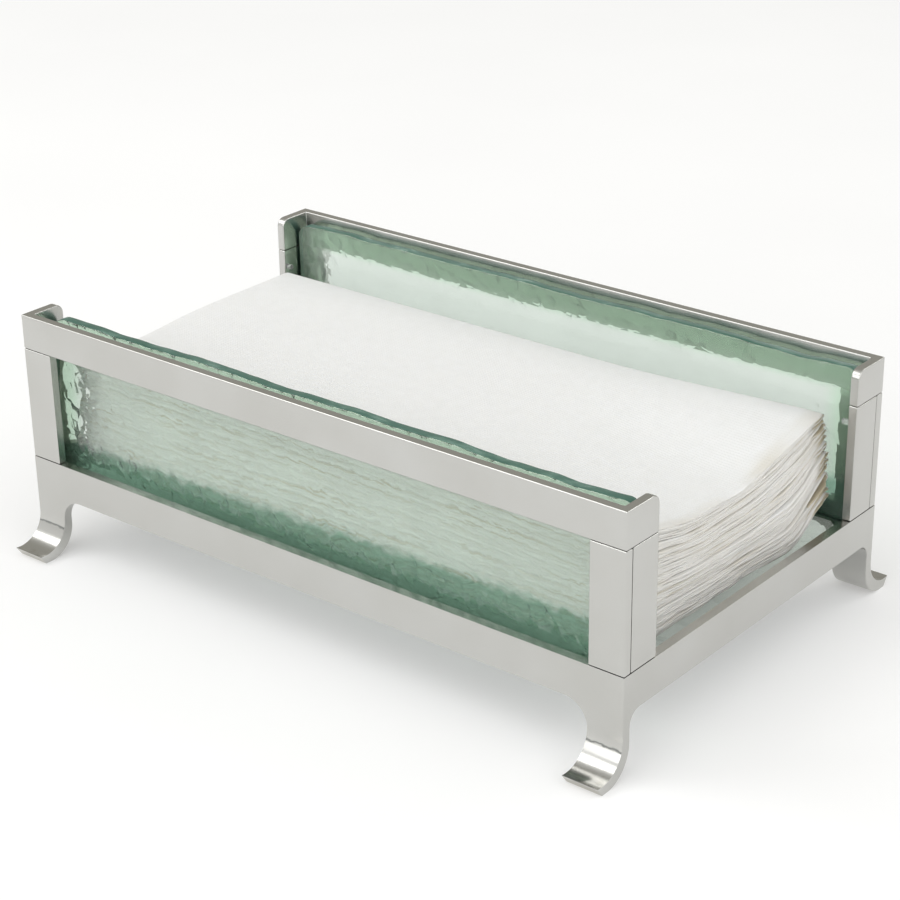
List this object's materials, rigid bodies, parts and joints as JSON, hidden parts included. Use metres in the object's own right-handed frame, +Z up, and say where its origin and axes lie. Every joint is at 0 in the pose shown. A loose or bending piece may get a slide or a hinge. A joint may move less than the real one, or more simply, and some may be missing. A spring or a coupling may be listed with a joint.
{
  "type": "guest towel holder",
  "caption": "Open-top paper napkin caddy: polished metal frame on flared feet, loose green glass side panes, glass floor and a stack of folded paper towels.",
  "frame": {"origin": "on the table, under the middle of the caddy", "axes": "+X along the caddy's length, -Y towards its front, +Z up"},
  "size_m": [0.236, 0.1572, 0.0817],
  "materials": {
    "polished_metal": "polished, lightly brushed",
    "green_glass": "hand-made, wavy, tinted green",
    "clear_glass": "clear, slightly wavy",
    "bumper": "clear silicone",
    "paper": "embossed paper"
  },
  "bodies": {
    "frame": {"base_rail_front": "polished_metal", "base_rail_back": "polished_metal", "base_rail_left": "polished_metal", "base_rail_right": "polished_metal", "leg_front_left": "polished_metal", "leg_front_right": "polished_metal", "leg_back_left": "polished_metal", "leg_back_right": "polished_metal", "ledge_front": "polished_metal", "ledge_back": "polished_metal", "ledge_left": "polished_metal", "ledge_right": "polished_metal", "floor_pane": "clear_glass", "floor_clips": "polished_metal", "stile_front_left": "polished_metal", "stile_front_right": "polished_metal", "stile_back_left": "polished_metal", "stile_back_right": "polished_metal", "flange_front_left": "polished_metal", "flange_front_right": "polished_metal", "flange_back_left": "polished_metal", "flange_back_right": "polished_metal", "top_rail_front": "polished_metal", "top_rail_back": "polished_metal", "pane_bumpers": "bumper"},
    "front_glass": {"pane_front": "green_glass"},
    "back_glass": {"pane_back": "green_glass"},
    "towels": {"towel_stack": "paper"},
    "first_towel": {"top_towel": "paper"}
  },
  "joints": [
    {"name": "pane_front_lift", "type": "slide", "parent": "frame", "child": "front_glass", "axis": [0, 0, 1], "range_m": [0, 0.06]},
    {"name": "pane_back_lift", "type": "slide", "parent": "frame", "child": "back_glass", "axis": [0, 0, 1], "range_m": [0, 0.06]},
    {"name": "towel_stack_lift", "type": "slide", "parent": "frame", "child": "towels", "axis": [0, 0, 1], "range_m": [0, 0.06]},
    {"name": "top_towel_lift", "type": "slide", "parent": "towels", "child": "first_towel", "axis": [0, 0, 1], "range_m": [0, 0.03]}
  ]
}
